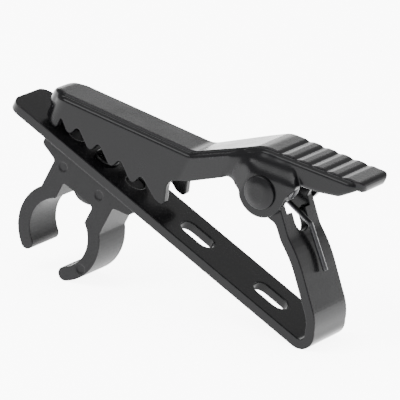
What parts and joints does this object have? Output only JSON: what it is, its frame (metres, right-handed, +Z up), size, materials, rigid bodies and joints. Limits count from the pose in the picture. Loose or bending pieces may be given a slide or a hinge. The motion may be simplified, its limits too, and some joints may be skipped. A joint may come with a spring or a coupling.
{
  "type": "lavalier microphone tie clip",
  "caption": "Sprung alligator tie clip with toothed jaw and grooved thumb lever, carrying a snap-in C holder for a lavalier microphone capsule.",
  "frame": {"origin": "centre of the bounding box's base: the table that the clip rests on, under its middle", "axes": "+X from the strap's front tip towards the bend and the lever's end, +Y across the clip, +Z up as it rests on a table"},
  "size_m": [0.0485, 0.0102, 0.0229],
  "materials": {
    "black_steel": "semi-gloss black paint over stamped steel",
    "black_steel_pin": "black-finished steel rivet, satin",
    "spring_wire": "blackened spring wire, drawn",
    "holder_plastic": "moulded black plastic, fine matte texture"
  },
  "bodies": {
    "frame": {"base_strap": "black_steel", "mic_holder": "holder_plastic", "holder_rivet": "black_steel_pin", "torsion_spring": "spring_wire"},
    "jaw": {"jaw_lever": "black_steel", "pivot_pin": "black_steel_pin"}
  },
  "joints": [
    {"name": "jaw_hinge", "type": "hinge", "parent": "frame", "child": "jaw", "pos_m": [0.01175, 0, 0.01773], "axis": [0, 1, 0], "range_deg": [0, 55], "stiffness_Nm_per_rad": 0.0415, "springref_deg": -60.16, "deforming": ["torsion_spring"]}
  ]
}
